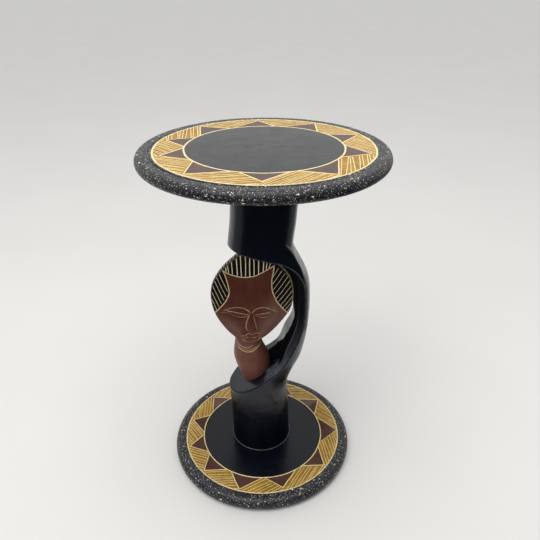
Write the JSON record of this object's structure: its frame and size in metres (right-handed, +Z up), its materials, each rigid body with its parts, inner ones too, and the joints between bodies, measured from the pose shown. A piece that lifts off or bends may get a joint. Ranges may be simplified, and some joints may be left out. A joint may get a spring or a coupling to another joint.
{
  "type": "pedestal side table",
  "caption": "Round pedestal side table: turned top and base disc joined by a curved carved log that holds a carved head in its hollow.",
  "frame": {"origin": "on the floor under the centre of the overall box, which is also the centre of the top", "axes": "+Z up; the carved face looks towards -Y; the log's arm passes round the head on the +X side"},
  "size_m": [0.3299, 0.33, 0.52],
  "materials": {
    "black_lacquer": "satin black lacquer on wood",
    "speckled_rim": "black paint spattered with cream, white and gold",
    "yellow_paint": "satin yellow ochre paint, incised",
    "gold_line_paint": "pale gold paint in incised lines",
    "triangle_brown_paint": "satin dark brown paint",
    "face_brown_paint": "satin red-brown stain and lacquer",
    "hair_black_paint": "satin black paint, incised",
    "dowel_wood": "plain sanded hardwood",
    "wood_filler": "filler, sanded flush and lacquered",
    "screw_steel": "zinc plated steel"
  },
  "bodies": {
    "root": {"table_top": "black_lacquer", "base_disc": "black_lacquer", "column": "black_lacquer", "head_and_neck": "face_brown_paint", "neck_dowel": "dowel_wood", "top_screws": "screw_steel", "top_screw_plugs": "wood_filler", "base_screws": "screw_steel"}
  },
  "joints": []
}
